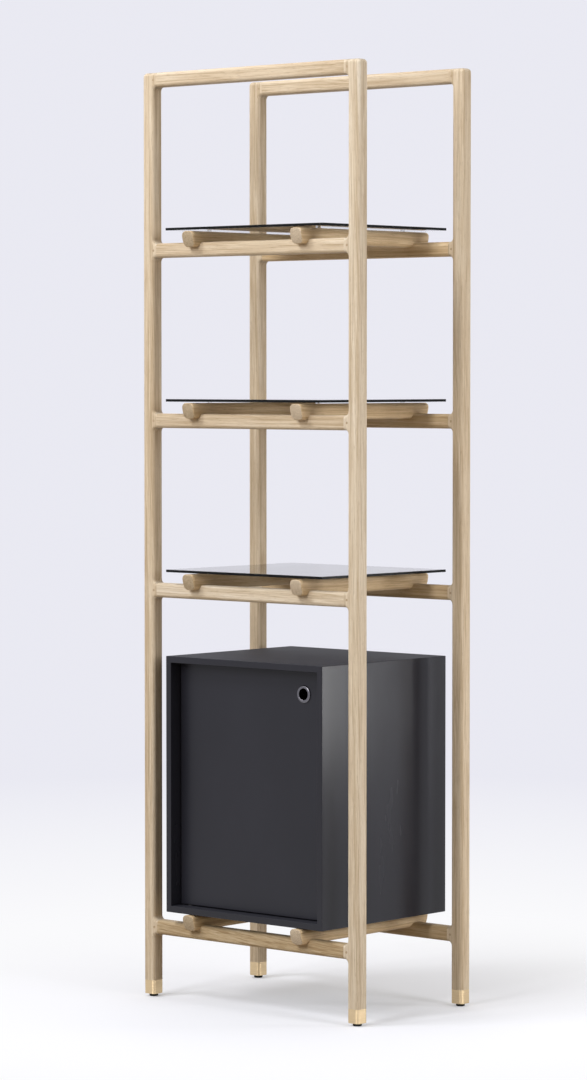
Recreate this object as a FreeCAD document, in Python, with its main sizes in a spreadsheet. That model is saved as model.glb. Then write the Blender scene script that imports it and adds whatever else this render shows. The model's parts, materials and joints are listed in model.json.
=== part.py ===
import FreeCAD, Part
import math
import os

import Sketcher

# An open etagere. Two oak ladder frames stand one behind the other, and notched bearers join them at
# four levels. Three levels carry glass shelves on bumpers, and the base level carries a lacquered
# cabinet with a set-back door on pivots. Brass ferrules and glides finish the posts.
# The origin is on the floor under the middle of the footprint: +X runs along the ladders to the right
# of someone facing the door, +Y runs from the door to the back, and +Z is up. Lengths are millimetres.

SIZES = (
    # The footprint that glass and cabinet share
    ("unit_width", 402, "glass and cabinet, left to right"),
    ("unit_depth", 364, "glass and cabinet, front to rear"),
    # The ladder frames
    ("total_height", 1800, "floor to the tops of the posts and top rails"),
    ("ladder_width", 526, "left post to right post, centre to centre"),
    ("ladder_spacing", 305, "front ladder to rear ladder, centre to centre"),
    ("base_rail_height", 138, "floor to the centre line of the base rails"),
    ("post_size", 28, "side of the square section of posts and rails"),
    ("edge_round", 7, "rounding along the edges of posts and rails"),
    ("top_corner_extra", 1, "what the outer top corner's radius has over the edge rounding"),
    ("stub_length", 8.5, "post face to the seam where a rail butts"),
    ("stub_land", 0.5, "straight part of a stub between its swept corner and the seam"),
    ("tenon_length", 20, "tenon of a rail, from the seam inward"),
    ("tenon_height", 16, "tenon of a rail, up and down"),
    ("tenon_thickness", 10, "tenon of a rail, front to rear"),
    ("mortise_clearance", 1, "room beyond the tenon's end"),
    ("peg_diameter", 5, "peg that pins a tenon"),
    ("peg_setback", 7.5, "seam to the peg's centre, towards the post"),
    ("fit_clearance", 0.05, "radial gap round pegs, dowels, stems, bushes and screws in their holes"),
    # The feet
    ("ferrule_height", 27, "brass ferrule, outside"),
    ("ferrule_wall", 1.6, "side wall of a ferrule"),
    ("ferrule_floor", 2, "bottom wall of a ferrule"),
    ("glide_diameter", 17, "pad of a glide"),
    ("glide_height", 5.5, "pad of a glide, floor to ferrule"),
    ("glide_round", 1.5, "rounding of a glide's lower edge"),
    ("stem_diameter", 6, "stem of a glide"),
    ("stem_length", 22, "stem of a glide above its pad"),
    # The bearers
    ("bearer_spacing", 277.5, "left bearer to right bearer, centre to centre"),
    ("bearer_overhang", 6, "how far a bearer projects past the glass and the cabinet at each end"),
    ("bearer_width", 29, "section of a bearer, left to right"),
    ("bearer_height", 30.5, "section of a bearer, up and down"),
    ("bearer_round", 9, "rounding along the edges of a bearer"),
    ("end_undercut", 8, "how far a bearer's end curves back from its top to its bottom"),
    ("end_round", 2.5, "softening round the end of a bearer"),
    ("notch_depth", 9.5, "how far a bearer is let down over a rail"),
    ("notch_clearance", 0.1, "gap on each side of a rail in its notch"),
    ("dowel_diameter", 8, "dowel between a rail and a bearer"),
    ("dowel_length", 24, "dowel between a rail and a bearer, half in each"),
    ("dowel_clearance", 0.5, "room beyond each end of a dowel"),
    # The glass shelves
    ("glass_thickness", 5, "glass"),
    ("glass_corner", 1.2, "corner radius of the glass, seen from above"),
    ("glass_arris", 0.4, "ground chamfer round the glass"),
    ("bumper_diameter", 8, "bumper under the glass"),
    ("bumper_height", 2.3, "bumper under the glass"),
    ("bumper_inset", 58, "front or rear edge of the glass to a bumper's centre"),
    # The cabinet
    ("cabinet_height", 498, "cabinet, outside, up and down"),
    ("panel_thickness", 12.5, "top, bottom and sides of the cabinet"),
    ("cabinet_round", 1.2, "rounding of the cabinet's long outer edges"),
    ("panel_edge_round", 1, "rounding of the panels' front and rear edges"),
    ("back_thickness", 6, "back panel"),
    ("back_lap", 6, "how far the back panel is let into the other panels"),
    ("back_inset", 2, "rear edges of the cabinet to the back panel"),
    ("spacer_diameter", 16, "spacer between a bearer and the cabinet"),
    ("spacer_height", 1, "spacer between a bearer and the cabinet"),
    ("screw_diameter", 4.5, "cabinet screw, shank"),
    ("screw_head", 9, "cabinet screw, head diameter"),
    ("screw_head_height", 3, "cabinet screw, head"),
    ("screw_sink", 10, "depth of the counterbore for a cabinet screw"),
    ("screw_grip", 9, "cabinet screw in the cabinet's bottom"),
    ("screw_spread", 200, "front screw to rear screw, centre to centre"),
    # The door and what it turns on
    ("door_recess", 27, "front of the cabinet to the face of the door"),
    ("door_thickness", 16, "door"),
    ("door_gap", 2, "gap between the door and the panels round it"),
    ("door_edge_round", 1.2, "rounding round the face of the door"),
    ("pivot_inset", 21, "hinge edge of the door to the pivot's axis"),
    ("pivot_diameter", 6, "pivot pin"),
    ("pivot_grip", 9, "pivot pin in a cabinet panel"),
    ("pivot_reach", 12, "pivot pin in its bush"),
    ("bush_diameter", 10, "pivot bush, outside"),
    ("bush_length", 14, "pivot bush"),
    ("running_clearance", 0.05, "radial gap between a pivot pin and its bush"),
    ("washer_diameter", 14, "thrust washer under the door"),
    ("washer_clearance", 0.3, "radial gap between the washer and the pivot pin"),
    # The finger pull
    ("pull_diameter", 34, "flange of the finger pull"),
    ("pull_bore", 22, "finger hole"),
    ("pull_wall", 2, "sleeve of the finger pull in the door"),
    ("pull_proud", 3, "how far the flange stands out of the door"),
    ("pull_lip", 1.2, "rounding of the flange where the finger hole begins"),
    ("pull_from_edge", 54, "free edge of the door to the pull's centre"),
    ("pull_from_top", 43, "top edge of the door to the pull's centre"),
    ("nut_diameter", 32, "ring that holds the pull at the rear of the door"),
    ("nut_height", 2.5, "ring that holds the pull at the rear of the door"),
    # The magnetic catch
    ("catch_length", 46, "catch case, left to right"),
    ("catch_depth", 14, "catch case, front to rear"),
    ("catch_height", 14, "catch case, up and down"),
    ("catch_gap", 0.2, "gap between the magnet and the strike plate of the closed door"),
    ("catch_from_edge", 62, "free edge of the door to the middle of the catch"),
    ("magnet_length", 24, "magnet, left to right"),
    ("magnet_depth", 8, "magnet, front to rear"),
    ("magnet_height", 6, "magnet, up and down"),
    ("catch_screw_spread", 36, "left catch screw to right catch screw, centre to centre"),
    ("catch_screw_diameter", 3, "catch and strike screws, shank"),
    ("catch_screw_head", 6, "catch and strike screws, head diameter"),
    ("catch_screw_head_height", 1.5, "catch screws, head"),
    ("catch_screw_grip", 8, "catch and strike screws in the wood"),
    ("strike_length", 34, "strike plate, left to right"),
    ("strike_height", 9, "strike plate, up and down"),
    ("strike_thickness", 1.2, "strike plate"),
)

# Heights of the levels, counted in equal steps from the base rails to the top rails
LEVEL_STEPS = {"base": 0, "lower": 2, "middle": 3, "upper": 4}
TOP_STEP = 5
SHELF_LEVELS = ("lower", "middle", "upper")
SIDES = {"left": -1, "right": 1}
LADDERS = {"front": -1, "rear": 1}
# Share of an outer radius that lies outside a 45 degree mitre
MITRE_SHARE = 1 - math.sqrt(0.5)
TOUCH = 1e-4

document = FreeCAD.newDocument("etagere")
sheet = document.addObject("Spreadsheet::Sheet", "sizes")
parts = []


class Size:
    """A number together with the formula that ties it to the sheet."""

    def __init__(self, value, formula):
        self.value = value
        self.formula = formula

    def join(self, other, sign, value):
        return Size(value, f"({self.formula} {sign} {other.formula})")

    def __add__(self, other):
        other = as_size(other)
        return self.join(other, "+", self.value + other.value)

    def __sub__(self, other):
        other = as_size(other)
        return self.join(other, "-", self.value - other.value)

    def __mul__(self, other):
        other = as_size(other)
        return self.join(other, "*", self.value * other.value)

    def __truediv__(self, other):
        other = as_size(other)
        return self.join(other, "/", self.value / other.value)

    def __neg__(self):
        return self * -1


def as_size(number):
    return number if isinstance(number, Size) else Size(number, f"({number})")


def fill_sheet():
    """Write the sizes into the sheet and return them by name."""
    for row, (name, value, note) in enumerate(SIZES, start=1):
        sheet.set(f"A{row}", note)
        sheet.set(f"B{row}", str(value))
        sheet.setAlias(f"B{row}", name)
    document.recompute()
    return {name: Size(value, f"sizes.{name}") for name, value, note in SIZES}


def tie(item, name, size):
    item.setExpression(name, as_size(size).formula)


def place(part, x=0, y=0, z=0, axis=(0, 0, 1), turn=0):
    base = [as_size(value) for value in (x, y, z)]
    rotation = FreeCAD.Rotation(FreeCAD.Vector(*axis), turn)
    part.Placement = FreeCAD.Placement(FreeCAD.Vector(*[size.value for size in base]), rotation)
    for letter, size in zip("xyz", base):
        tie(part, f"Placement.Base.{letter}", size)


def new_body(name):
    body = document.addObject("PartDesign::Body", name)
    body.AllowCompound = True
    parts.append(body)
    return body


def new_sketch(body, plane_role, offset=0):
    """A sketch on one of the body's own planes, moved along that plane's normal by the offset."""
    sketch = body.newObject("Sketcher::SketchObject", f"{body.Name}_sketch")
    plane = next(item for item in body.Origin.OriginFeatures if item.Role == plane_role)
    sketch.AttachmentSupport = (plane, [""])
    sketch.MapMode = "FlatFace"
    tie(sketch, "AttachmentOffset.Base.z", offset)
    return sketch


def pin_point(sketch, geometry, end, x, y):
    """Fix a point of the sketch at x and y from the sketch's origin."""
    for kind, size in (("DistanceX", as_size(x)), ("DistanceY", as_size(y))):
        index = sketch.addConstraint(Sketcher.Constraint(kind, -1, 1, geometry, end, size.value))
        tie(sketch, f"Constraints[{index}]", size)


def draw_outline(sketch, corners):
    """Draw a closed outline. A corner is (x, y), or (x, y, centre) where an arc under half a turn follows."""
    starts = []
    points = [FreeCAD.Vector(as_size(corner[0]).value, as_size(corner[1]).value, 0) for corner in corners]
    for place_in_list, corner in enumerate(corners):
        here = points[place_in_list]
        there = points[(place_in_list + 1) % len(corners)]
        if len(corner) == 2:
            starts.append((sketch.addGeometry(Part.LineSegment(here, there)), 1, 2))
            continue
        centre = FreeCAD.Vector(as_size(corner[2][0]).value, as_size(corner[2][1]).value, 0)
        forward = (here - centre).cross(there - centre).z > 0
        first, last = (here, there) if forward else (there, here)
        angles = [math.atan2(point.y - centre.y, point.x - centre.x) for point in (first, last)]
        circle = Part.Circle(centre, FreeCAD.Vector(0, 0, 1), (here - centre).Length)
        arc = sketch.addGeometry(Part.ArcOfCircle(circle, *angles))
        starts.append((arc, 1, 2) if forward else (arc, 2, 1))
    for place_in_list, corner in enumerate(corners):
        geometry, start, end = starts[place_in_list]
        next_geometry, next_start, next_end = starts[(place_in_list + 1) % len(corners)]
        sketch.addConstraint(Sketcher.Constraint("Coincident", geometry, end, next_geometry, next_start))
        pin_point(sketch, geometry, start, corner[0], corner[1])
        if len(corner) == 3:
            index = sketch.addConstraint(
                Sketcher.Constraint("DistanceX", -1, 1, geometry, 3, as_size(corner[2][0]).value)
            )
            tie(sketch, f"Constraints[{index}]", corner[2][0])


def draw_rectangle(sketch, width, height, x=0, y=0):
    left, right = as_size(x) - width / 2, as_size(x) + width / 2
    low, high = as_size(y) - height / 2, as_size(y) + height / 2
    draw_outline(sketch, [(left, low), (right, low), (right, high), (left, high)])


def draw_rounded_rectangle(sketch, width, height, radius, x=0, y=0):
    left, right = as_size(x) - width / 2, as_size(x) + width / 2
    low, high = as_size(y) - height / 2, as_size(y) + height / 2
    inner_left, inner_right = left + radius, right - radius
    inner_low, inner_high = low + radius, high - radius
    draw_outline(sketch, [
        (inner_left, low),
        (inner_right, low, (inner_right, inner_low)),
        (right, inner_low),
        (right, inner_high, (inner_right, inner_high)),
        (inner_right, high),
        (inner_left, high, (inner_left, inner_high)),
        (left, inner_high),
        (left, inner_low, (inner_left, inner_low)),
    ])


def draw_circles(sketch, diameter, centres):
    for x, y in centres:
        centre = FreeCAD.Vector(as_size(x).value, as_size(y).value, 0)
        circle = sketch.addGeometry(Part.Circle(centre, FreeCAD.Vector(0, 0, 1), diameter.value / 2))
        pin_point(sketch, circle, 3, x, y)
        index = sketch.addConstraint(Sketcher.Constraint("Diameter", circle, diameter.value))
        tie(sketch, f"Constraints[{index}]", diameter)


def add_pad(body, sketch, length, side="One side", backwards=False):
    pad = body.newObject("PartDesign::Pad", f"{body.Name}_pad")
    pad.Profile = sketch
    pad.SideType = side
    pad.Reversed = backwards
    tie(pad, "Length", length)
    return pad


def add_pocket(body, sketch, length=None, side="One side", along_normal=False):
    """Cut a pocket of the given length, or right through where no length is given."""
    document.recompute()
    before = body.Shape.Volume
    pocket = body.newObject("PartDesign::Pocket", f"{body.Name}_pocket")
    pocket.Profile = sketch
    pocket.SideType = side
    pocket.Reversed = along_normal
    if length is None:
        pocket.Type = "ThroughAll"
    else:
        tie(pocket, "Length", length)
    document.recompute()
    if body.Shape.Volume > before - TOUCH:
        raise RuntimeError(f"{pocket.Name} cuts nothing")
    return pocket


def dress_edges(body, kind, name, size, wanted):
    """Round or chamfer the edges of the body that the test picks."""
    document.recompute()
    base = body.Tip
    edges = [f"Edge{number}" for number, edge in enumerate(base.Shape.Edges, start=1) if wanted(edge)]
    feature = body.newObject(kind, f"{body.Name}_{name.lower()}")
    feature.Base = (base, edges)
    tie(feature, name, size)
    return feature


def fillet(body, size, wanted):
    return dress_edges(body, "PartDesign::Fillet", "Radius", size, wanted)


def chamfer(body, size, wanted):
    return dress_edges(body, "PartDesign::Chamfer", "Size", size, wanted)


def lies_at(edge, axis, value):
    """True if the whole edge lies in the plane at the value on the axis."""
    box = edge.BoundBox
    low = getattr(box, f"{axis}Min")
    high = getattr(box, f"{axis}Max")
    return abs(low - value) < TOUCH and abs(high - value) < TOUCH


def middle_of(edge):
    return edge.valueAt((edge.FirstParameter + edge.LastParameter) / 2)


class Dimensions:
    """The driving sizes as attributes, and the places that follow from them."""

    def __init__(self, sizes):
        self.__dict__.update(sizes)
        self.half_post = self.post_size / 2
        self.seam = self.half_post + self.stub_length
        self.rail_span = self.ladder_width - self.seam * 2
        self.post_x = self.ladder_width / 2
        self.ladder_y = self.ladder_spacing / 2
        self.bearer_x = self.bearer_spacing / 2
        self.level_step = (self.total_height - self.half_post - self.base_rail_height) / TOP_STEP
        self.bearer_seat = self.half_post - self.notch_depth
        self.bearer_top = self.bearer_seat + self.bearer_height
        self.foot_top = self.glide_height + self.ferrule_height
        self.cabinet_low = self.base_rail_height + self.bearer_top + self.spacer_height
        self.cabinet_high = self.cabinet_low + self.cabinet_height
        self.inner_x = self.unit_width / 2 - self.panel_thickness
        self.door_left = self.door_gap - self.inner_x
        self.door_front = self.door_recess - self.unit_depth / 2
        self.door_rear = self.door_front + self.door_thickness
        self.door_low = self.cabinet_low + self.panel_thickness + self.door_gap
        self.door_width = (self.inner_x - self.door_gap) * 2
        self.door_height = self.cabinet_height - (self.panel_thickness + self.door_gap) * 2
        self.door_high = self.door_low + self.door_height
        self.pivot_x = self.door_left + self.pivot_inset
        self.pivot_y = self.door_front + self.door_thickness / 2
        self.catch_x = self.inner_x - self.door_gap - self.catch_from_edge
        self.catch_front = self.door_rear + self.strike_thickness + self.catch_gap
        self.catch_y = self.catch_front + self.catch_depth / 2

    def level(self, name):
        return self.base_rail_height + self.level_step * LEVEL_STEPS[name]

    def all_levels(self):
        return [self.level(name) for name in LEVEL_STEPS] + [self.total_height - self.half_post]

    def hole(self, diameter):
        return diameter + self.fit_clearance * 2

    def screw_places(self):
        return [(self.bearer_x * side, self.screw_spread / 2 * ladder)
                for side in SIDES.values() for ladder in LADDERS.values()]

    def catch_screw_places(self):
        return [(self.catch_screw_spread / 2 * side, 0) for side in SIDES.values()]


def make_post(d, ladder, side):
    """A post with a swept stub for every rail, mortised and pegged, with a spigot for its ferrule."""
    body = new_body(f"post_{ladder}_{side}")
    sweep = d.stub_length - d.stub_land
    sweep_x = d.half_post + sweep
    crown = d.edge_round + d.top_corner_extra
    corners = [(-d.half_post, d.foot_top), (d.half_post, d.foot_top)]
    for name in LEVEL_STEPS:
        low = d.level(name) - d.half_post
        high = d.level(name) + d.half_post
        corners += [
            (d.half_post, low - sweep, (sweep_x, low - sweep)),
            (sweep_x, low),
            (d.seam, low),
            (d.seam, high),
            (sweep_x, high, (sweep_x, high + sweep)),
            (d.half_post, high + sweep),
        ]
    top_low = d.total_height - d.post_size
    corners += [
        (d.half_post, top_low - sweep, (sweep_x, top_low - sweep)),
        (sweep_x, top_low),
        (d.seam, top_low),
        (d.seam, d.total_height),
        (crown - d.half_post, d.total_height, (crown - d.half_post, d.total_height - crown)),
        (-d.half_post, d.total_height - crown),
    ]
    side_view = new_sketch(body, "XZ_Plane")
    draw_outline(side_view, corners)
    add_pad(body, side_view, d.post_size, side="Symmetric")

    def runs_along_outline(edge):
        on_face = any(lies_at(edge, "Y", d.half_post.value * face) for face in (-1, 1))
        at_seam = lies_at(edge, "X", d.seam.value)
        at_foot = lies_at(edge, "Z", d.foot_top.value)
        return on_face and not at_seam and not at_foot

    fillet(body, d.edge_round, runs_along_outline)

    spigot_low = d.glide_height + d.ferrule_floor
    spigot = new_sketch(body, "XY_Plane", spigot_low)
    spigot_size = d.post_size - d.ferrule_wall * 2
    draw_rounded_rectangle(spigot, spigot_size, spigot_size, d.edge_round - d.ferrule_wall)
    add_pad(body, spigot, d.foot_top - spigot_low)

    mortises = new_sketch(body, "YZ_Plane", d.seam - d.tenon_length - d.mortise_clearance)
    for height in d.all_levels():
        draw_rectangle(mortises, d.tenon_thickness, d.tenon_height, 0, height)
    add_pocket(body, mortises, along_normal=True)

    peg_holes = new_sketch(body, "XZ_Plane")
    peg_x = d.seam - d.peg_setback
    draw_circles(peg_holes, d.hole(d.peg_diameter), [(peg_x, height) for height in d.all_levels()])
    add_pocket(body, peg_holes, side="Symmetric")

    stem_hole = new_sketch(body, "XY_Plane", spigot_low)
    draw_circles(stem_hole, d.hole(d.stem_diameter), [(0, 0)])
    add_pocket(body, stem_hole, d.stem_length - d.ferrule_floor + d.mortise_clearance, along_normal=True)
    turn = 0 if side == "left" else 180
    place(body, d.post_x * SIDES[side], d.ladder_y * LADDERS[ladder], 0, turn=turn)


def make_rail(d, name, ladder, height, carries_bearers):
    """A rail with a tenon at each end, drilled for its pegs and for the bearers' dowels."""
    body = new_body(name)
    section = new_sketch(body, "YZ_Plane")
    draw_rounded_rectangle(section, d.post_size, d.post_size, d.edge_round)
    add_pad(body, section, d.rail_span, side="Symmetric")
    tenon = new_sketch(body, "YZ_Plane")
    draw_rectangle(tenon, d.tenon_thickness, d.tenon_height)
    add_pad(body, tenon, d.rail_span + d.tenon_length * 2, side="Symmetric")
    peg_holes = new_sketch(body, "XZ_Plane")
    peg_x = d.rail_span / 2 + d.peg_setback
    draw_circles(peg_holes, d.hole(d.peg_diameter), [(-peg_x, 0), (peg_x, 0)])
    add_pocket(body, peg_holes, side="Symmetric")
    if carries_bearers:
        depth = d.dowel_length / 2 + d.dowel_clearance
        dowel_holes = new_sketch(body, "XY_Plane", d.half_post - depth)
        draw_circles(dowel_holes, d.hole(d.dowel_diameter), [(-d.bearer_x, 0), (d.bearer_x, 0)])
        add_pocket(body, dowel_holes, along_normal=True)
    place(body, 0, d.ladder_y * LADDERS[ladder], height)


def make_pegs(d, ladder):
    body = new_body(f"pegs_{ladder}")
    sketch = new_sketch(body, "XZ_Plane")
    peg_x = d.rail_span / 2 + d.peg_setback
    places = [(peg_x * side, height) for side in SIDES.values() for height in d.all_levels()]
    draw_circles(sketch, d.peg_diameter, places)
    add_pad(body, sketch, d.post_size, side="Symmetric")
    place(body, 0, d.ladder_y * LADDERS[ladder], 0)


def make_bearer(d, level, side):
    """A bearer let down over the front and the rear rail, with ends that curve back below."""
    body = new_body(f"bearer_{level}_{side}")
    end = d.unit_depth / 2 + d.bearer_overhang
    stock_end = end + d.end_undercut
    section = new_sketch(body, "XZ_Plane")
    draw_rounded_rectangle(section, d.bearer_width, d.bearer_height, d.bearer_round,
                           0, d.bearer_seat + d.bearer_height / 2)
    add_pad(body, section, end + stock_end, side="Symmetric")
    # The arc of an end is upright at the top, and its radius follows from its height and its undercut
    radius = (d.bearer_height * d.bearer_height + d.end_undercut * d.end_undercut) / (d.end_undercut * 2)
    centre = end - radius
    for way in LADDERS.values():
        undercut = new_sketch(body, "YZ_Plane")
        draw_outline(undercut, [
            (end * way, d.bearer_top, (centre * way, d.bearer_top)),
            ((end - d.end_undercut) * way, d.bearer_seat),
            (stock_end * way, d.bearer_seat),
            (stock_end * way, d.bearer_top),
        ])
        add_pocket(body, undercut, side="Symmetric")

    def goes_round_an_end(edge):
        middle = middle_of(edge)
        reach = math.hypot(abs(middle.y) - centre.value, middle.z - d.bearer_top.value)
        return abs(reach - radius.value) < TOUCH

    fillet(body, d.end_round, goes_round_an_end)

    for way in LADDERS.values():
        notch = new_sketch(body, "YZ_Plane")
        draw_rounded_rectangle(notch, d.post_size + d.notch_clearance * 2, d.post_size, d.edge_round,
                               d.ladder_y * way, 0)
        add_pocket(body, notch, side="Symmetric")
    dowel_holes = new_sketch(body, "XY_Plane", d.half_post)
    draw_circles(dowel_holes, d.hole(d.dowel_diameter), [(0, d.ladder_y * way) for way in LADDERS.values()])
    add_pocket(body, dowel_holes, d.dowel_length / 2 + d.dowel_clearance, along_normal=True)
    if level == "base":
        places = [(0, d.screw_spread / 2 * way) for way in LADDERS.values()]
        shanks = new_sketch(body, "XY_Plane", d.bearer_seat)
        draw_circles(shanks, d.hole(d.screw_diameter), places)
        add_pocket(body, shanks, along_normal=True)
        heads = new_sketch(body, "XY_Plane", d.bearer_seat)
        draw_circles(heads, d.hole(d.screw_head), places)
        add_pocket(body, heads, d.screw_sink, along_normal=True)
    place(body, d.bearer_x * SIDES[side], 0, d.level(level))


def make_dowels(d):
    body = new_body("bearer_dowels")
    places = [(d.bearer_x * side, d.ladder_y * way) for side in SIDES.values() for way in LADDERS.values()]
    for level in LEVEL_STEPS:
        sketch = new_sketch(body, "XY_Plane", d.level(level) + d.half_post)
        draw_circles(sketch, d.dowel_diameter, places)
        add_pad(body, sketch, d.dowel_length, side="Symmetric")
    place(body)


def make_glass_shelf(d, level):
    body = new_body(f"glass_shelf_{level}")
    sketch = new_sketch(body, "XY_Plane")
    draw_rounded_rectangle(sketch, d.unit_width, d.unit_depth, d.glass_corner)
    add_pad(body, sketch, d.glass_thickness)

    def bounds_a_face(edge):
        return lies_at(edge, "Z", 0) or lies_at(edge, "Z", d.glass_thickness.value)

    chamfer(body, d.glass_arris, bounds_a_face)
    place(body, 0, 0, d.level(level) + d.bearer_top + d.bumper_height)


def make_bumpers(d, level):
    body = new_body(f"shelf_bumpers_{level}")
    sketch = new_sketch(body, "XY_Plane")
    bumper_y = d.unit_depth / 2 - d.bumper_inset
    places = [(d.bearer_x * side, bumper_y * way) for side in SIDES.values() for way in LADDERS.values()]
    draw_circles(sketch, d.bumper_diameter, places)
    add_pad(body, sketch, d.bumper_height)
    place(body, 0, 0, d.level(level) + d.bearer_top)


def make_ferrule(d, ladder, side):
    """A square cup whose outside is flush with the post above it."""
    body = new_body(f"ferrule_{ladder}_{side}")
    outside = new_sketch(body, "XY_Plane")
    draw_rounded_rectangle(outside, d.post_size, d.post_size, d.edge_round)
    add_pad(body, outside, d.ferrule_height)
    inner_size = d.post_size - d.ferrule_wall * 2
    inside = new_sketch(body, "XY_Plane", d.ferrule_floor)
    draw_rounded_rectangle(inside, inner_size, inner_size, d.edge_round - d.ferrule_wall)
    add_pocket(body, inside, along_normal=True)
    stem_hole = new_sketch(body, "XY_Plane")
    draw_circles(stem_hole, d.hole(d.stem_diameter), [(0, 0)])
    add_pocket(body, stem_hole, along_normal=True)

    def is_an_outer_lower_edge(edge):
        middle = middle_of(edge)
        return lies_at(edge, "Z", 0) and math.hypot(middle.x, middle.y) > d.stem_diameter.value

    fillet(body, d.ferrule_wall / 2, is_an_outer_lower_edge)
    place(body, d.post_x * SIDES[side], d.ladder_y * LADDERS[ladder], d.glide_height)


def make_glide(d, ladder, side):
    body = new_body(f"glide_{ladder}_{side}")
    pad_sketch = new_sketch(body, "XY_Plane")
    draw_circles(pad_sketch, d.glide_diameter, [(0, 0)])
    add_pad(body, pad_sketch, d.glide_height)
    fillet(body, d.glide_round, lambda edge: lies_at(edge, "Z", 0))
    stem = new_sketch(body, "XY_Plane", d.glide_height)
    draw_circles(stem, d.stem_diameter, [(0, 0)])
    add_pad(body, stem, d.stem_length)
    place(body, d.post_x * SIDES[side], d.ladder_y * LADDERS[ladder], 0)


def make_cabinet_panel(d, name, width, x, z, turn):
    """One of the four panels mitred round the cabinet. Its outer face is up before it is turned."""
    body = new_body(name)
    half = width / 2
    radius = d.cabinet_round
    tip = half - radius * MITRE_SHARE
    tip_low = radius * -MITRE_SHARE
    inner = half - d.panel_thickness
    section = new_sketch(body, "XZ_Plane")
    draw_outline(section, [
        (-inner, -d.panel_thickness),
        (inner, -d.panel_thickness),
        (tip, tip_low, (half - radius, -radius)),
        (half - radius, 0),
        (radius - half, 0, (radius - half, -radius)),
        (-tip, tip_low),
    ])
    add_pad(body, section, d.unit_depth, side="Symmetric")

    front = -d.unit_depth.value / 2
    inner_face = -d.panel_thickness.value

    def is_an_outer_or_front_edge(edge):
        outer = middle_of(edge).z > -radius.value / 2
        at_front = lies_at(edge, "Y", front)
        at_rear = lies_at(edge, "Y", -front)
        return at_front and (outer or lies_at(edge, "Z", inner_face)) or at_rear and outer

    fillet(body, d.panel_edge_round, is_an_outer_or_front_edge)

    rebate = new_sketch(body, "YZ_Plane")
    rebate_width = d.back_thickness + d.back_inset
    draw_rectangle(rebate, rebate_width, d.back_lap, d.unit_depth / 2 - rebate_width / 2,
                   d.back_lap / 2 - d.panel_thickness)
    add_pocket(body, rebate, side="Symmetric")
    place(body, x, 0, z, axis=(0, 1, 0), turn=turn)
    return body


def drill_pivot_hole(d, panel, x):
    """A blind hole for a pivot pin in the panel's inner face."""
    sketch = new_sketch(panel, "XY_Plane", -d.panel_thickness)
    draw_circles(sketch, d.hole(d.pivot_diameter), [(x, d.pivot_y)])
    add_pocket(panel, sketch, d.pivot_grip + d.dowel_clearance, along_normal=True)


def make_cabinet(d):
    half = d.unit_width / 2
    centre = d.cabinet_low + d.cabinet_height / 2
    make_cabinet_panel(d, "cabinet_side_left", d.cabinet_height, -half, centre, -90)
    make_cabinet_panel(d, "cabinet_side_right", d.cabinet_height, half, centre, 90)
    top = make_cabinet_panel(d, "cabinet_top", d.unit_width, 0, d.cabinet_high, 0)
    drill_pivot_hole(d, top, d.pivot_x)
    catch_holes = new_sketch(top, "XY_Plane", -d.panel_thickness)
    places = [(d.catch_x + x, d.catch_y) for x, y in d.catch_screw_places()]
    draw_circles(catch_holes, d.hole(d.catch_screw_diameter), places)
    add_pocket(top, catch_holes, d.catch_screw_grip + d.dowel_clearance, along_normal=True)
    bottom = make_cabinet_panel(d, "cabinet_bottom", d.unit_width, 0, d.cabinet_low, 180)
    drill_pivot_hole(d, bottom, -d.pivot_x)
    screw_holes = new_sketch(bottom, "XY_Plane")
    draw_circles(screw_holes, d.hole(d.screw_diameter), d.screw_places())
    add_pocket(bottom, screw_holes, d.screw_grip + d.dowel_clearance)

    back = new_body("cabinet_back")
    sketch = new_sketch(back, "XZ_Plane")
    lap = (d.panel_thickness - d.back_lap) * 2
    draw_rectangle(sketch, d.unit_width - lap, d.cabinet_height - lap)
    add_pad(back, sketch, d.back_thickness)
    place(back, 0, d.unit_depth / 2 - d.back_inset, centre)


def make_cabinet_fixings(d):
    level = d.level("base")
    spacers = new_body("cabinet_spacers")
    sketch = new_sketch(spacers, "XY_Plane")
    draw_circles(sketch, d.spacer_diameter, d.screw_places())
    draw_circles(sketch, d.hole(d.screw_diameter), d.screw_places())
    add_pad(spacers, sketch, d.spacer_height)
    place(spacers, 0, 0, level + d.bearer_top)

    screws = new_body("cabinet_screws")
    heads = new_sketch(screws, "XY_Plane", -d.screw_head_height)
    draw_circles(heads, d.screw_head, d.screw_places())
    add_pad(screws, heads, d.screw_head_height)
    shanks = new_sketch(screws, "XY_Plane")
    draw_circles(shanks, d.screw_diameter, d.screw_places())
    add_pad(screws, shanks, d.bearer_height - d.screw_sink + d.spacer_height + d.screw_grip)
    place(screws, 0, 0, level + d.bearer_seat + d.screw_sink)


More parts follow.
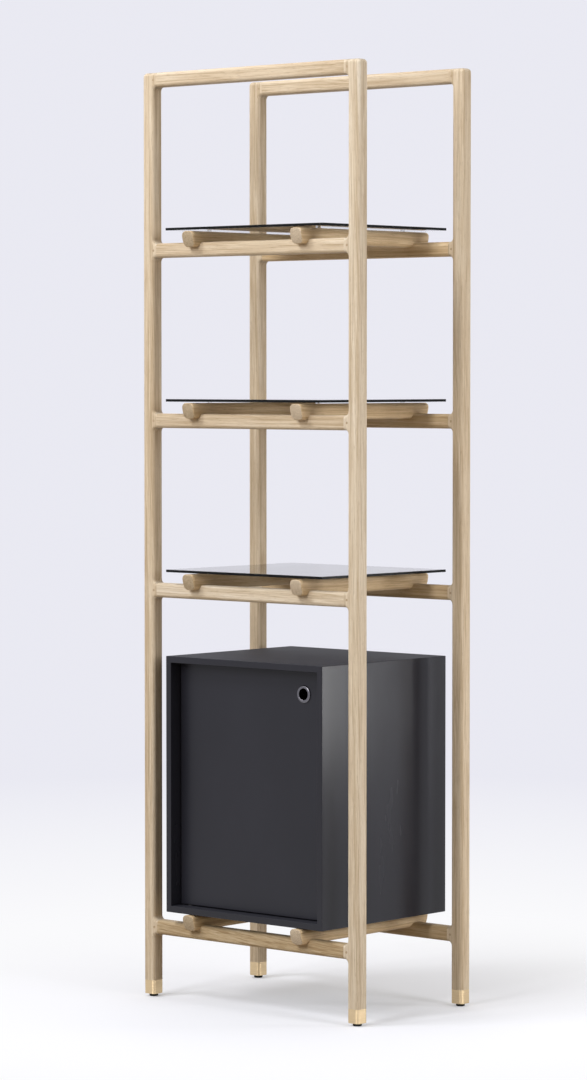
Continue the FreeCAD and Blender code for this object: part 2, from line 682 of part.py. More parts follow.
def make_door(d):
    """The door, from its hinge edge, face and lower edge, with its bores."""
    body = new_body("door")
    face = new_sketch(body, "XZ_Plane")
    draw_rectangle(face, d.door_width, d.door_height, d.door_width / 2, d.door_height / 2)
    add_pad(body, face, d.door_thickness, backwards=True)
    fillet(body, d.door_edge_round, lambda edge: lies_at(edge, "Y", 0))
    pull_hole = new_sketch(body, "XZ_Plane")
    draw_circles(pull_hole, d.hole(d.pull_bore + d.pull_wall * 2),
                 [(d.door_width - d.pull_from_edge, d.door_height - d.pull_from_top)])
    add_pocket(body, pull_hole, side="Symmetric")
    for height, upwards in ((0, True), (d.door_height, False)):
        bush_hole = new_sketch(body, "XY_Plane", height)
        draw_circles(bush_hole, d.hole(d.bush_diameter), [(d.pivot_inset, d.door_thickness / 2)])
        add_pocket(body, bush_hole, d.bush_length, along_normal=upwards)
    strike_hole = new_sketch(body, "XZ_Plane", -d.door_thickness)
    draw_circles(strike_hole, d.hole(d.catch_screw_diameter), [
        (d.door_width - d.catch_from_edge, d.door_height + d.door_gap - d.catch_height / 2)])
    add_pocket(body, strike_hole, d.catch_screw_grip + d.dowel_clearance, along_normal=True)
    place(body, d.door_left, d.door_front, d.door_low)


def make_pivots(d):
    """Pins fixed in the cabinet, bushes fixed in the door and a washer that carries the door."""
    length = d.pivot_grip + d.door_gap + d.pivot_reach
    pin_low = {"lower": d.door_low - d.door_gap - d.pivot_grip, "upper": d.door_high - d.pivot_reach}
    bush_low = {"lower": d.door_low, "upper": d.door_high - d.bush_length}
    for end in ("lower", "upper"):
        pin = new_body(f"pivot_pin_{end}")
        sketch = new_sketch(pin, "XY_Plane")
        draw_circles(sketch, d.pivot_diameter, [(0, 0)])
        add_pad(pin, sketch, length)
        place(pin, d.pivot_x, d.pivot_y, pin_low[end])
        bush = new_body(f"pivot_bush_{end}")
        sketch = new_sketch(bush, "XY_Plane")
        draw_circles(sketch, d.bush_diameter, [(0, 0)])
        draw_circles(sketch, d.pivot_diameter + d.running_clearance * 2, [(0, 0)])
        add_pad(bush, sketch, d.bush_length)
        place(bush, d.pivot_x, d.pivot_y, bush_low[end])
    washer = new_body("pivot_washer")
    sketch = new_sketch(washer, "XY_Plane")
    draw_circles(sketch, d.washer_diameter, [(0, 0)])
    draw_circles(sketch, d.pivot_diameter + d.washer_clearance * 2, [(0, 0)])
    add_pad(washer, sketch, d.door_gap)
    place(washer, d.pivot_x, d.pivot_y, d.door_low - d.door_gap)


def revolve(body, sketch, axis_role):
    turning = body.newObject("PartDesign::Revolution", f"{body.Name}_revolution")
    axis = next(item for item in body.Origin.OriginFeatures if item.Role == axis_role)
    turning.Profile = sketch
    turning.ReferenceAxis = (axis, [""])
    turning.Angle = 360
    return turning


def make_finger_pull(d):
    """A flanged sleeve through the door, held by a ring at the rear."""
    bore = d.pull_bore / 2
    sleeve = bore + d.pull_wall
    flange = d.pull_diameter / 2
    crown = d.pull_proud
    tail = d.door_thickness + d.nut_height
    pull = new_body("finger_pull")
    profile = new_sketch(pull, "XY_Plane")
    draw_outline(profile, [
        (bore, tail),
        (bore, d.pull_lip - crown, (bore + d.pull_lip, d.pull_lip - crown)),
        (bore + d.pull_lip, -crown),
        (flange - crown, -crown, (flange - crown, 0)),
        (flange, 0),
        (sleeve, 0),
        (sleeve, tail),
    ])
    revolve(pull, profile, "Y_Axis")
    nut = new_body("finger_pull_ring")
    outline = new_sketch(nut, "XZ_Plane")
    draw_circles(outline, d.nut_diameter, [(0, 0)])
    draw_circles(outline, d.hole(d.pull_bore + d.pull_wall * 2), [(0, 0)])
    add_pad(nut, outline, d.nut_height, backwards=True)

    def is_the_outer_rear_edge(edge):
        return lies_at(edge, "Y", d.nut_height.value) and edge.BoundBox.XLength > d.nut_diameter.value - TOUCH

    fillet(nut, d.nut_height / 2, is_the_outer_rear_edge)
    pull_x = d.door_left + d.door_width - d.pull_from_edge
    pull_z = d.door_high - d.pull_from_top
    place(pull, pull_x, d.door_front, pull_z)
    place(nut, pull_x, d.door_rear, pull_z)


def make_catch(d):
    """A magnet in a case under the cabinet's top, and the strike plate that it holds on the door."""
    centre_z = d.cabinet_high - d.panel_thickness - d.catch_height / 2
    case = new_body("catch_case")
    outline = new_sketch(case, "XY_Plane")
    draw_rectangle(outline, d.catch_length, d.catch_depth)
    add_pad(case, outline, d.catch_height, side="Symmetric")
    slot = new_sketch(case, "XZ_Plane", d.catch_depth / 2)
    draw_rectangle(slot, d.magnet_length, d.magnet_height)
    add_pocket(case, slot, d.magnet_depth)
    shanks = new_sketch(case, "XY_Plane")
    draw_circles(shanks, d.hole(d.catch_screw_diameter), d.catch_screw_places())
    add_pocket(case, shanks, side="Symmetric")
    place(case, d.catch_x, d.catch_y, centre_z)

    magnet = new_body("catch_magnet")
    outline = new_sketch(magnet, "XZ_Plane")
    draw_rectangle(outline, d.magnet_length, d.magnet_height)
    add_pad(magnet, outline, d.magnet_depth, backwards=True)
    place(magnet, d.catch_x, d.catch_front, centre_z)

    screws = new_body("catch_screws")
    heads = new_sketch(screws, "XY_Plane", -d.catch_screw_head_height)
    draw_circles(heads, d.catch_screw_head, d.catch_screw_places())
    add_pad(screws, heads, d.catch_screw_head_height)
    shanks = new_sketch(screws, "XY_Plane")
    draw_circles(shanks, d.catch_screw_diameter, d.catch_screw_places())
    add_pad(screws, shanks, d.catch_height + d.catch_screw_grip)
    place(screws, d.catch_x, d.catch_y, centre_z - d.catch_height / 2)

    head = d.catch_screw_head / 2
    shank = d.catch_screw_diameter / 2
    sink = d.strike_thickness
    strike = new_body("strike_plate")
    outline = new_sketch(strike, "XZ_Plane")
    draw_rectangle(outline, d.strike_length, d.strike_height)
    add_pad(strike, outline, sink, backwards=True)
    hole = new_sketch(strike, "XY_Plane")
    gap = d.fit_clearance
    draw_outline(hole, [(0, 0), (shank + gap, 0), (head + gap, sink), (0, sink)])
    document.recompute()
    groove = strike.newObject("PartDesign::Groove", "strike_plate_groove")
    groove.Profile = hole
    axis = next(item for item in strike.Origin.OriginFeatures if item.Role == "Y_Axis")
    groove.ReferenceAxis = (axis, [""])
    groove.Angle = 360
    place(strike, d.catch_x, d.door_rear, centre_z)

    screw = new_body("strike_screw")
    profile = new_sketch(screw, "XY_Plane")
    draw_outline(profile, [
        (0, -d.catch_screw_grip),
        (shank, -d.catch_screw_grip),
        (shank, 0),
        (head, sink),
        (0, sink),
    ])
    revolve(screw, profile, "Y_Axis")
    place(screw, d.catch_x, d.door_rear, centre_z)


def build():
    d = Dimensions(fill_sheet())
    for ladder in LADDERS:
        for side in SIDES:
            make_post(d, ladder, side)
            make_ferrule(d, ladder, side)
            make_glide(d, ladder, side)
        make_rail(d, f"top_rail_{ladder}", ladder, d.total_height - d.half_post, False)
        for level in LEVEL_STEPS:
            make_rail(d, f"rail_{level}_{ladder}", ladder, d.level(level), True)
        make_pegs(d, ladder)
    for level in LEVEL_STEPS:
        for side in SIDES:
            make_bearer(d, level, side)
    make_dowels(d)
    for level in SHELF_LEVELS:
        make_glass_shelf(d, level)
        make_bumpers(d, level)
    make_cabinet(d)
    make_cabinet_fixings(d)
    make_door(d)
    make_pivots(d)
    make_finger_pull(d)
    make_catch(d)
    document.recompute()


def check_and_write():
    """Stop if anything in the document failed, and write one file for each sub-part."""
    for item in document.Objects:
        if "Invalid" in item.State or "Error" in item.State:
            raise RuntimeError(f"{item.Name} failed: {item.State}")
    for part in parts:
        if part.Shape.isNull() or not part.Shape.isValid():
            raise RuntimeError(f"{part.Label} has no valid shape")
    os.makedirs("parts", exist_ok=True)
    for part in parts:
        part.Shape.exportStep(f"parts/{part.Label}.step")
        print(part.Label, len(part.Shape.Solids), round(part.Shape.Volume, 1))


build()
check_and_write()
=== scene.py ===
import json

import bpy
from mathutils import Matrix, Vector


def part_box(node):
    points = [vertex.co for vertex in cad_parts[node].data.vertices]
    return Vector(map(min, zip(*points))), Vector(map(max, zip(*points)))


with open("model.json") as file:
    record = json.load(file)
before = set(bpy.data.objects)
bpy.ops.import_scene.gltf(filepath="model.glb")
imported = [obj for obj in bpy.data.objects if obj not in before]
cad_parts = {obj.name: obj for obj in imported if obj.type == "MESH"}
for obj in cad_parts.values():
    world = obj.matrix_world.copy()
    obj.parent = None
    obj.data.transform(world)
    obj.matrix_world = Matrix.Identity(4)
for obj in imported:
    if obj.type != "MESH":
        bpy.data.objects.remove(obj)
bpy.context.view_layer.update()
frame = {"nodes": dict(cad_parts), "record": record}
nodes = frame["nodes"]

# Camera
CAMERA_PLACE = (4.914, -5.559, 1.2187)
CAMERA_TARGET = (-0.018, -0.016, 0.8966)
SENSOR_MM = 36
LENS_MM = 127.95

# Soft boxes: where each stands, what it faces, its width and height in metres, and its power
MIDDLE = (0, 0, 0.9)
LAMPS = {
    "key": {"place": (0.1, -5.4, 3.6), "target": MIDDLE, "size": (1.6, 2.6), "watts": 175},
    "left": {"place": (-1.5, -2.9, 4.6), "target": MIDDLE, "size": (1.4, 1.4), "watts": 112},
    "right": {"place": (4.4, -0.1, 2.4), "target": MIDDLE, "size": (1.4, 2.0), "watts": 61},
    "low": {"place": (4.6, -0.4, 1.3), "target": (0, 0, 1.3), "size": (1.2, 0.5), "watts": 22},
    "top": {"place": (0, 0, 5.4), "target": MIDDLE, "size": (1.4, 1.4), "watts": 36},
    "rim": {"place": (1.4, 0.93, 0.56), "target": (0.2, -0.1, 0.55), "size": (0.24, 0.4), "watts": 5.4},
}

# Backdrop, and the soft light from all round, which grows towards the side that the lamps leave dark
BACKDROP_COLOUR = (0.82, 0.82, 0.89, 1)
FILL_COLOUR = (1.0, 0.93, 0.82, 1)
FILL_STRENGTH = 0.2
BACK_FILL_STRENGTH = 0.95
BACK_FILL_FROM = Vector((-0.5, 0.85, 0.1)).normalized()
# Cosine of the angle to that side at which the light starts to grow
BACK_FILL_START = -0.2

# Floor, which looks pale and throws a warmer, dimmer light back on the object
FLOOR_COLOUR = (0.825, 0.845, 0.93)
FLOOR_BOUNCE_COLOUR = (0.3, 0.25, 0.19, 1)
FLOOR_SPOT_SHADE = 0.995
FLOOR_SIZE = 120
# Share of glow in the floor at the object, the distances from the middle between which the rest turns into
# glow, and the distance at which the glow has turned from white into the backdrop's colour
FLOOR_GLOW = 0.27
FLOOR_GLOW_START = 0.2
FLOOR_GLOW_END = 1.25
FLOOR_FADE_END = 4.2

AXES = {"X": 0, "Y": 1, "Z": 2}
UP = (0, 0, 1)
WHITE = (1, 1, 1, 1)

# Boards that differ in the tone of their face and of their end grain, in how steeply the grain slants and in
# how clearly its dark lines show. The face tones of all but the plain board are painted light and shade:
# paler where more light falls, darker and warmer where the pieces lie in shade
BOARDS_AND_PAINTED_LIGHT = {
    "plain": {"face": (0.99, 1.0, 1.05), "end": (0.47, 0.41, 0.33), "slant": 0.008, "line": 0.5},
    # pale: a paler, less saturated face tone that paints extra light on the front right post and the lower
    # front rail, and on the post the right-hand lamps' sheen
    "pale": {"face": (1.07, 1.12, 1.24), "end": (0.5, 0.45, 0.37), "slant": 0.012, "line": 0.5},
    # golden: a warmer, more saturated face tone with darker end grain; the face tone is painted warm shade
    # on the left bearers and the upper rear rail
    "golden_painted_shade": {"face": (1.03, 0.96, 0.85), "end": (0.33, 0.285, 0.225), "slant": 0.01, "line": 0.5},
    # honey: a warm face tone, painted warm shade on the right bearers, with paler end grain
    "honey_painted_shade": {"face": (1.0, 0.93, 0.83), "end": (0.56, 0.5, 0.43), "slant": 0.01, "line": 0.5},
    # amber: a darker, warmer face tone that paints the shade under the glass shelves and the cabinet on the
    # rear rails
    "amber_painted_shade": {"face": (0.86, 0.79, 0.69), "end": (0.4, 0.33, 0.25), "slant": 0.01, "line": 0.5},
    # dark: a darker face tone that paints the shade below the cabinet on the base front rail, with steeply
    # slanting grain whose dark lines show clearly
    "dark": {"face": (0.8, 0.755, 0.675), "end": (0.4, 0.33, 0.25), "slant": 0.06, "line": 0.85},
}
# Pieces that aren't made of a plain board; their boards' face tones paint the light and shade on them
CHOSEN_BOARDS_AND_PAINTED_LIGHT = {
    # The front right post and the lower front rail get the pale board's painted light
    "post_front_right": "pale",
    "rail_lower_front": "pale",
    # The base front rail's darker tone is painted shade; its slanting, clearly lined grain is the wood's own
    "rail_base_front": "dark",
    # The rear rails below the upper level get the amber board's painted shade
    "rail_base_rear": "amber_painted_shade",
    "rail_lower_rear": "amber_painted_shade",
    "rail_middle_rear": "amber_painted_shade",
    "rail_upper_rear": "golden_painted_shade",
}
LEVELS = ("base", "lower", "middle", "upper")
# The left bearers lie in shade, which the golden board's warm face tone paints
CHOSEN_BOARDS_AND_PAINTED_LIGHT.update({f"bearer_{level}_left": "golden_painted_shade" for level in LEVELS})
# The right bearers lie in shade too, which the honey board's warm face tone paints
CHOSEN_BOARDS_AND_PAINTED_LIGHT.update({f"bearer_{level}_right": "honey_painted_shade" for level in LEVELS})

# Oak's colours from dark to pale, at their places in the mix of its rings and fibres
OAK_TONES = [
    (0.36, (0.47, 0.35, 0.215)),
    (0.50, (0.64, 0.515, 0.355)),
    (0.64, (0.74, 0.63, 0.475)),
]
OAK_LINE_COLOUR = (0.4, 0.285, 0.16, 1)
OAK_PORE_COLOUR = (0.3, 0.2, 0.11, 1)
# How many features oak has to the metre, along the grain and across it
WANDER_SCALES = (3, 14)
RING_SCALES = (1.6, 95)
LINE_SCALES = (2.5, 260)
FIBRE_SCALES = (12, 700)
PORE_SCALES = (60, 1500)
# Metres by which the grain wanders to the side
GRAIN_WANDER = 0.009
# Share by which two pieces of one board can be darker or paler than it
BOARD_SPREAD = 0.03
# How strongly the pores and the end grain show, and the end grain's pores and wood against its own colour
PORE_SHARE = 0.4
END_GRAIN_SHARE = 0.55
END_PORE_SHADE = 0.5
END_WOOD_SHADE = 1.12

# Black lacquer, dark and less dark, and its roughness: clean, what wipe marks add and what dust adds on top
LACQUER_TONES = ((0.015, 0.0152, 0.021), (0.0188, 0.019, 0.0265))
LACQUER_ROUGHNESS = 0.18
DOOR_LACQUER_ROUGHNESS = 0.28
WIPE_ROUGHNESS = 0.14
DUST_ROUGHNESS = 0.37

# Finishes that only have a slight unevenness, and the shares by which their colour and roughness vary
COLOUR_UNEVENNESS = 0.12
ROUGHNESS_UNEVENNESS = 0.15
PLAIN_FINISHES = {
    "peg_wood": {"colour": (0.46, 0.34, 0.225), "roughness": 0.6, "scale": 500, "specular": 0.2},
    "dowel_wood": {"colour": (0.62, 0.46, 0.3), "roughness": 0.6},
    "black_plastic": {"colour": (0.006, 0.006, 0.006), "roughness": 0.6, "specular": 0.15},
    "zinc_steel": {"colour": (0.6, 0.6, 0.58), "roughness": 0.35, "metallic": 1.0},
    "bush_brass": {"colour": (0.8, 0.6, 0.33), "roughness": 0.35, "metallic": 1.0},
    "nylon": {"colour": (0.02, 0.02, 0.021), "roughness": 0.5},
    "catch_plastic": {"colour": (0.04, 0.028, 0.02), "roughness": 0.5},
    "magnet": {"colour": (0.05, 0.05, 0.052), "roughness": 0.6},
}


class Nodes:
    """The nodes of a material or of the world, with short ways to add and link them."""

    # Sockets of a Mix node for its factor and its two colours, and the one that gives the colour
    MIX_INPUTS = (0, 6, 7)
    MIX_OUTPUT = 2
    # Values between which most of a noise lies
    NOISE_LOW = 0.3
    NOISE_HIGH = 0.7

    def __init__(self, owner):
        owner.use_nodes = True
        self.tree = owner.node_tree

    def add(self, kind, **settings):
        node = self.tree.nodes.new(kind)
        for name, value in settings.items():
            setattr(node, name, value)
        return node

    def link(self, source, target):
        self.tree.links.new(source, target)

    def fill(self, sockets, values):
        """Set or link sockets in their order."""
        for socket, value in zip(sockets, values):
            if isinstance(value, bpy.types.NodeSocket):
                self.link(value, socket)
            else:
                socket.default_value = value

    def feed(self, node, **inputs):
        """Set or link inputs by name, with spaces written as underscores."""
        self.fill([node.inputs[name.replace("_", " ")] for name in inputs], inputs.values())
        return node

    def math(self, operation, *values):
        node = self.add("ShaderNodeMath", operation=operation)
        self.fill(node.inputs, values)
        return node.outputs[0]

    def vary(self, value, base, amount):
        """The base, and the amount times the value on top."""
        return self.math("MULTIPLY_ADD", value, amount, base)

    def vector(self, operation, *values):
        node = self.add("ShaderNodeVectorMath", operation=operation)
        self.fill(node.inputs, values)
        return node.outputs["Value"] if operation in ("LENGTH", "DOT_PRODUCT") else node.outputs["Vector"]

    def mix(self, factor, first, second, blend="MIX"):
        node = self.add("ShaderNodeMix", data_type="RGBA", blend_type=blend)
        self.fill([node.inputs[number] for number in self.MIX_INPUTS], (factor, first, second))
        return node.outputs[self.MIX_OUTPUT]

    def blend_shaders(self, factor, first, second):
        node = self.add("ShaderNodeMixShader")
        self.fill(node.inputs, (factor, first.outputs[0], second.outputs[0]))
        return node

    def ramp(self, value, stops):
        node = self.add("ShaderNodeValToRGB")
        self.link(value, node.inputs[0])
        elements = node.color_ramp.elements
        while len(elements) < len(stops):
            elements.new(0.5)
        for element, (position, colour) in zip(elements, stops):
            element.position = position
            element.color = (*colour, 1)
        return node.outputs[0]

    def tint(self, noise, low, high):
        """A colour between two, by a noise."""
        return self.ramp(noise, [(self.NOISE_LOW, low), (self.NOISE_HIGH, high)])

    def span(self, value, start, end, low=0, high=1, way="SMOOTHSTEP"):
        """Go from low, while the value is at start, to high, once it is at end."""
        node = self.add("ShaderNodeMapRange", interpolation_type=way)
        self.feed(node, Value=value, From_Min=start, From_Max=end, To_Min=low, To_Max=high)
        return node.outputs[0]

    def noise(self, vector, scale, detail=2, roughness=0.5):
        node = self.add("ShaderNodeTexNoise")
        self.feed(node, Vector=vector, Scale=scale, Detail=detail, Roughness=roughness)
        return node.outputs[0]

    def stretched_noise(self, vector, scales, **settings):
        """Noise with a scale for each axis."""
        return self.noise(self.vector("MULTIPLY", vector, scales), scale=1, **settings)

    def seen(self):
        """1 where the camera, a reflection or glass looks, and 0 where light is only gathered."""
        path = self.add("ShaderNodeLightPath").outputs
        shown = self.math("MAXIMUM", path["Is Camera Ray"], path["Is Glossy Ray"])
        shown = self.math("MAXIMUM", shown, path["Is Transmission Ray"])
        return self.math("MULTIPLY", shown, self.math("LESS_THAN", path["Diffuse Depth"], 0.5))


class Shader(Nodes):
    """A material under construction."""

    # Metres by which two pieces can lie apart in their textures
    PIECE_OFFSET = (13.1, 7.7, 9.3)

    def __init__(self, name):
        self.material = bpy.data.materials.new(name)
        super().__init__(self.material)
        self.surface = self.tree.nodes["Principled BSDF"]
        self.output = self.tree.nodes["Material Output"]

    def chance(self):
        """A number from 0 to 1 that differs from piece to piece."""
        return self.add("ShaderNodeObjectInfo").outputs["Random"]

    def place(self):
        """Coordinates in metres, moved by a different amount for every piece."""
        coordinates = self.add("ShaderNodeTexCoord").outputs["Object"]
        return self.vector("MULTIPLY_ADD", self.chance(), self.PIECE_OFFSET, coordinates)

    def facing(self, direction):
        """How far the surface faces a direction, from 1 for straight at it to -1 for straight away."""
        return self.vector("DOT_PRODUCT", self.add("ShaderNodeTexCoord").outputs["Normal"], direction)

    def bump(self, height, strength, distance):
        node = self.add("ShaderNodeBump")
        self.feed(node, Height=height, Strength=strength, Distance=distance)
        self.feed(self.surface, Normal=node.outputs[0])


def shaded(colour, factor):
    return [value * factor for value in colour]


def by_axis(along, along_value, across_value):
    """One value for the axis along the grain and another for the two across it."""
    values = [across_value] * 3
    values[AXES[along]] = along_value
    return values


def make_oak(board, along):
    """Pale oiled oak with its grain along one axis: growth rings, fibres, pores and darker end grain."""
    shader = Shader(f"oak_{board}_{along}")
    look = BOARDS_AND_PAINTED_LIGHT[board]
    axis = by_axis(along, 1, 0)
    slant = by_axis(along, 0, look["slant"])
    place = shader.place()
    place = shader.vector("MULTIPLY_ADD", shader.vector("DOT_PRODUCT", place, axis), slant, place)
    wander = shader.stretched_noise(place, by_axis(along, *WANDER_SCALES))
    bent = shader.vector("MULTIPLY_ADD", wander, [GRAIN_WANDER] * 3, place)
    rings = shader.stretched_noise(bent, by_axis(along, *RING_SCALES), detail=3, roughness=0.6)
    lines = shader.stretched_noise(bent, by_axis(along, *LINE_SCALES), roughness=0.7)
    fibres = shader.stretched_noise(bent, by_axis(along, *FIBRE_SCALES))
    pores = shader.stretched_noise(bent, by_axis(along, *PORE_SCALES), detail=1)

    # Half of the tone comes from the rings and half from the fibres
    tone = shader.vary(rings, base=shader.math("MULTIPLY", fibres, 0.5), amount=0.5)
    wood = shader.ramp(tone, OAK_TONES)
    line = shader.span(lines, start=0.47, end=0.36)
    wood = shader.mix(shader.math("MULTIPLY", line, look["line"]), wood, OAK_LINE_COLOUR)
    # The board's face tone, which for the chosen boards is painted light and shade, a little darker or paler
    # from piece to piece
    board_and_painted_light_tone = shader.ramp(shader.chance(), [
        (0.0, shaded(look["face"], 1 - BOARD_SPREAD)),
        (1.0, shaded(look["face"], 1 + BOARD_SPREAD)),
    ])
    wood = shader.mix(1.0, wood, board_and_painted_light_tone, blend="MULTIPLY")
    pore = shader.span(pores, start=0.4, end=0.3)
    wood = shader.mix(shader.math("MULTIPLY", pore, PORE_SHARE), wood, OAK_PORE_COLOUR)

    end_grain = shader.span(shader.math("ABSOLUTE", shader.facing(axis)), start=0.5, end=0.95)
    speckle = shader.span(shader.noise(place, scale=900, detail=1), start=0.35, end=0.6)
    end_pore = (*shaded(look["end"], END_PORE_SHADE), 1)
    end_wood = (*shaded(look["end"], END_WOOD_SHADE), 1)
    end_tone = shader.mix(speckle, end_pore, end_wood)
    wood = shader.mix(shader.math("MULTIPLY", end_grain, END_GRAIN_SHARE), wood, end_tone)

    gloss = shader.vary(fibres, base=0.46, amount=0.2)
    shader.feed(shader.surface, Base_Color=wood, Roughness=gloss, Specular_IOR_Level=0.25)
    shader.bump(shader.math("SUBTRACT", fibres, pore), strength=0.3, distance=0.0003)
    return shader.material


def make_plain(name, colour, roughness, metallic=0.0, scale=60, specular=0.5):
    """A finish with a slight unevenness in its colour and its gloss."""
    shader = Shader(name)
    uneven = shader.noise(shader.place(), scale, detail=3)
    low = shaded(colour, 1 - COLOUR_UNEVENNESS)
    high = shaded(colour, 1 + COLOUR_UNEVENNESS)
    shade = shader.tint(uneven, low, high)
    gloss = shader.vary(uneven, base=roughness * (1 - ROUGHNESS_UNEVENNESS),
                        amount=roughness * ROUGHNESS_UNEVENNESS * 2)
    shader.feed(shader.surface, Base_Color=shade, Roughness=gloss, Metallic=metallic,
                Specular_IOR_Level=specular)
    return shader.material


def make_nickel():
    """Dark nickel with fine lines from brushing."""
    shader = Shader("nickel")
    brushing = shader.stretched_noise(shader.place(), (2500, 12, 2500))
    colour = (0.17, 0.165, 0.18)
    groove_colour = shaded(colour, 0.88)
    shade = shader.tint(brushing, groove_colour, colour)
    gloss = shader.vary(brushing, base=0.14, amount=0.2)
    shader.feed(shader.surface, Base_Color=shade, Metallic=1.0, Roughness=gloss)
    shader.bump(brushing, strength=0.08, distance=0.0001)
    return shader.material


def make_turned_brass():
    """Brass with fine lines round it from turning, which draw its highlights out upwards."""
    shader = Shader("brass")
    lines = shader.stretched_noise(shader.place(), (20, 20, 3000))
    shade = shader.tint(lines, (0.64, 0.485, 0.28), (0.76, 0.59, 0.36))
    gloss = shader.vary(lines, base=0.3, amount=0.1)
    round_it = shader.add("ShaderNodeTangent", direction_type="RADIAL", axis="Z")
    shader.feed(shader.surface, Base_Color=shade, Metallic=1.0, Roughness=gloss, Anisotropic=0.9,
                Anisotropic_Rotation=0.25, Tangent=round_it.outputs[0])
    shader.bump(lines, strength=0.1, distance=0.0001)
    return shader.material


def make_lacquer(name, roughness):
    """Satin black lacquer with a fine orange-peel texture, slight wipe marks and a little dust on top."""
    shader = Shader(name)
    place = shader.place()
    peel = shader.noise(place, scale=900)
    wipe = shader.stretched_noise(place, (5, 9, 3), detail=4, roughness=0.6)
    shade = shader.tint(wipe, *LACQUER_TONES)
    dusty = shader.span(shader.facing(UP), start=0.5, end=0.95)
    gloss = shader.vary(wipe, base=roughness, amount=WIPE_ROUGHNESS)
    gloss = shader.vary(dusty, base=gloss, amount=DUST_ROUGHNESS)
    shader.feed(shader.surface, Base_Color=shade, Roughness=gloss, Specular_IOR_Level=0.29)
    shader.bump(peel, strength=0.06, distance=0.0001)
    return shader.material


def make_smoked_glass():
    """Smoked glass that darkens with the length of the way through it, with ground edges."""
    shader = Shader("smoked_glass")
    dust = shader.noise(shader.place(), scale=25, detail=3)
    gloss = shader.vary(dust, base=0, amount=0.01)
    shader.feed(shader.surface, Base_Color=WHITE, Roughness=gloss, IOR=1.5, Transmission_Weight=1.0)
    shadow = shader.feed(shader.add("ShaderNodeBsdfTransparent"), Color=(0.3, 0.29, 0.28, 1))
    in_shadow = shader.add("ShaderNodeLightPath").outputs["Is Shadow Ray"]
    faces = shader.blend_shaders(in_shadow, shader.surface, shadow)
    edge = shader.add("ShaderNodeBsdfPrincipled")
    shader.feed(edge, Base_Color=(0.004, 0.0045, 0.0045, 1), Roughness=0.35, Specular_IOR_Level=0.12)
    on_edge = shader.math("LESS_THAN", shader.math("ABSOLUTE", shader.facing(UP)), 0.5)
    glass = shader.blend_shaders(on_edge, faces, edge)
    smoke = shader.add("ShaderNodeVolumeAbsorption")
    shader.feed(smoke, Color=(0.42, 0.4, 0.39, 1), Density=260)
    shader.feed(shader.output, Surface=glass.outputs[0], Volume=smoke.outputs[0])
    return shader.material


def make_clear_bumper():
    """Clear silicone with a slight haze."""
    shader = Shader("clear_bumper")
    haze = shader.noise(shader.place(), scale=400)
    gloss = shader.vary(haze, base=0.1, amount=0.1)
    shader.feed(shader.surface, Base_Color=(0.95, 0.96, 0.96, 1), Roughness=gloss, IOR=1.41,
                Transmission_Weight=0.9)
    return shader.material


def longest_axis(name):
    """The axis along which a node is longest, and so its grain runs."""
    low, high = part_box(name)
    lengths = high - low
    return max(AXES, key=lambda axis: lengths[AXES[axis]])


def dress():
    """Give every node its finish."""
    finishes = {slot: make_plain(slot, **look) for slot, look in PLAIN_FINISHES.items()}
    finishes["black_lacquer"] = make_lacquer("black_lacquer", LACQUER_ROUGHNESS)
    finishes["smoked_glass"] = make_smoked_glass()
    finishes["clear_bumper"] = make_clear_bumper()
    finishes["nickel"] = make_nickel()
    finishes["brass"] = make_turned_brass()
    door_lacquer = make_lacquer("door_lacquer", DOOR_LACQUER_ROUGHNESS)
    oak = {}
    for part in frame["record"]["subparts"]:
        name = part["node"]
        slot = part["material_slot"]
        if slot == "oak":
            kind = (CHOSEN_BOARDS_AND_PAINTED_LIGHT.get(name, "plain"), longest_axis(name))
            if kind not in oak:
                oak[kind] = make_oak(*kind)
            finish = oak[kind]
        elif name == "door":
            finish = door_lacquer
        else:
            finish = finishes[slot]
        for material_slot in nodes[name].material_slots:
            material_slot.material = finish


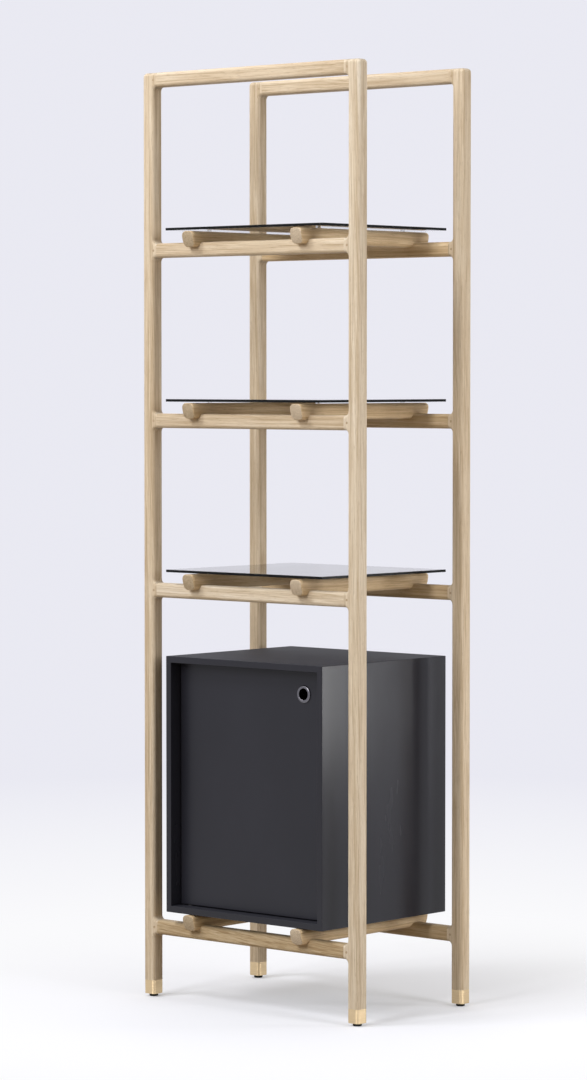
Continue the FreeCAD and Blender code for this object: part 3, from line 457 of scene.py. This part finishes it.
def build_floor():
    """A pale floor that passes into the backdrop's colour away from the object."""
    bpy.ops.mesh.primitive_plane_add(size=FLOOR_SIZE)
    floor = bpy.context.object
    floor.name = "floor"
    shader = Shader("floor")
    place = shader.add("ShaderNodeTexCoord").outputs["Object"]
    seen = shader.seen()
    spots = shader.noise(place, scale=3)
    shade = shader.tint(spots, shaded(FLOOR_COLOUR, FLOOR_SPOT_SHADE), FLOOR_COLOUR)
    shade = shader.mix(seen, FLOOR_BOUNCE_COLOUR, shade)
    shader.feed(shader.surface, Base_Color=shade, Roughness=0.7, Specular_IOR_Level=0.1)
    distance = shader.vector("LENGTH", place)
    fade = shader.span(distance, FLOOR_GLOW_START, FLOOR_FADE_END, way="LINEAR")
    glow = shader.feed(shader.add("ShaderNodeEmission"), Color=shader.mix(fade, WHITE, BACKDROP_COLOUR))
    share = shader.span(distance, FLOOR_GLOW_START, FLOOR_GLOW_END, low=FLOOR_GLOW)
    surface = shader.blend_shaders(shader.math("MULTIPLY", share, seen), shader.surface, glow)
    shader.feed(shader.output, Surface=surface.outputs[0])
    floor.data.materials.append(shader.material)


def build_world():
    """A pale backdrop to the camera and in reflections, and a soft light from all round for the rest."""
    world = bpy.data.worlds.new("studio")
    bpy.context.scene.world = world
    studio = Nodes(world)
    backdrop = studio.feed(studio.tree.nodes["Background"], Color=BACKDROP_COLOUR, Strength=1.0)
    direction = studio.add("ShaderNodeTexCoord").outputs["Generated"]
    aim = studio.vector("DOT_PRODUCT", direction, BACK_FILL_FROM)
    strength = studio.span(aim, BACK_FILL_START, 1, FILL_STRENGTH, BACK_FILL_STRENGTH, way="LINEAR")
    fill = studio.feed(studio.add("ShaderNodeBackground"), Color=FILL_COLOUR, Strength=strength)
    light = studio.blend_shaders(studio.seen(), fill, backdrop)
    studio.feed(studio.tree.nodes["World Output"], Surface=light.outputs[0])


def add_aimed(name, data, place, target):
    """Put a lamp or the camera at a place, turned towards its target."""
    thing = bpy.data.objects.new(name, data)
    bpy.context.scene.collection.objects.link(thing)
    thing.location = place
    thing.rotation_euler = (Vector(target) - Vector(place)).to_track_quat("-Z", "Y").to_euler()
    return thing


def add_softbox(name, place, target, size, watts):
    data = bpy.data.lights.new(name, "AREA")
    data.shape = "RECTANGLE"
    data.size, data.size_y = size
    data.energy = watts
    add_aimed(name, data, place, target)


def build_camera():
    data = bpy.data.cameras.new("camera")
    data.sensor_width = SENSOR_MM
    data.lens = LENS_MM
    bpy.context.scene.camera = add_aimed("camera", data, CAMERA_PLACE, CAMERA_TARGET)


dress()
build_floor()
build_world()
for lamp_name, lamp in LAMPS.items():
    add_softbox(lamp_name, **lamp)
build_camera()
bpy.context.scene.view_settings.view_transform = "Standard"
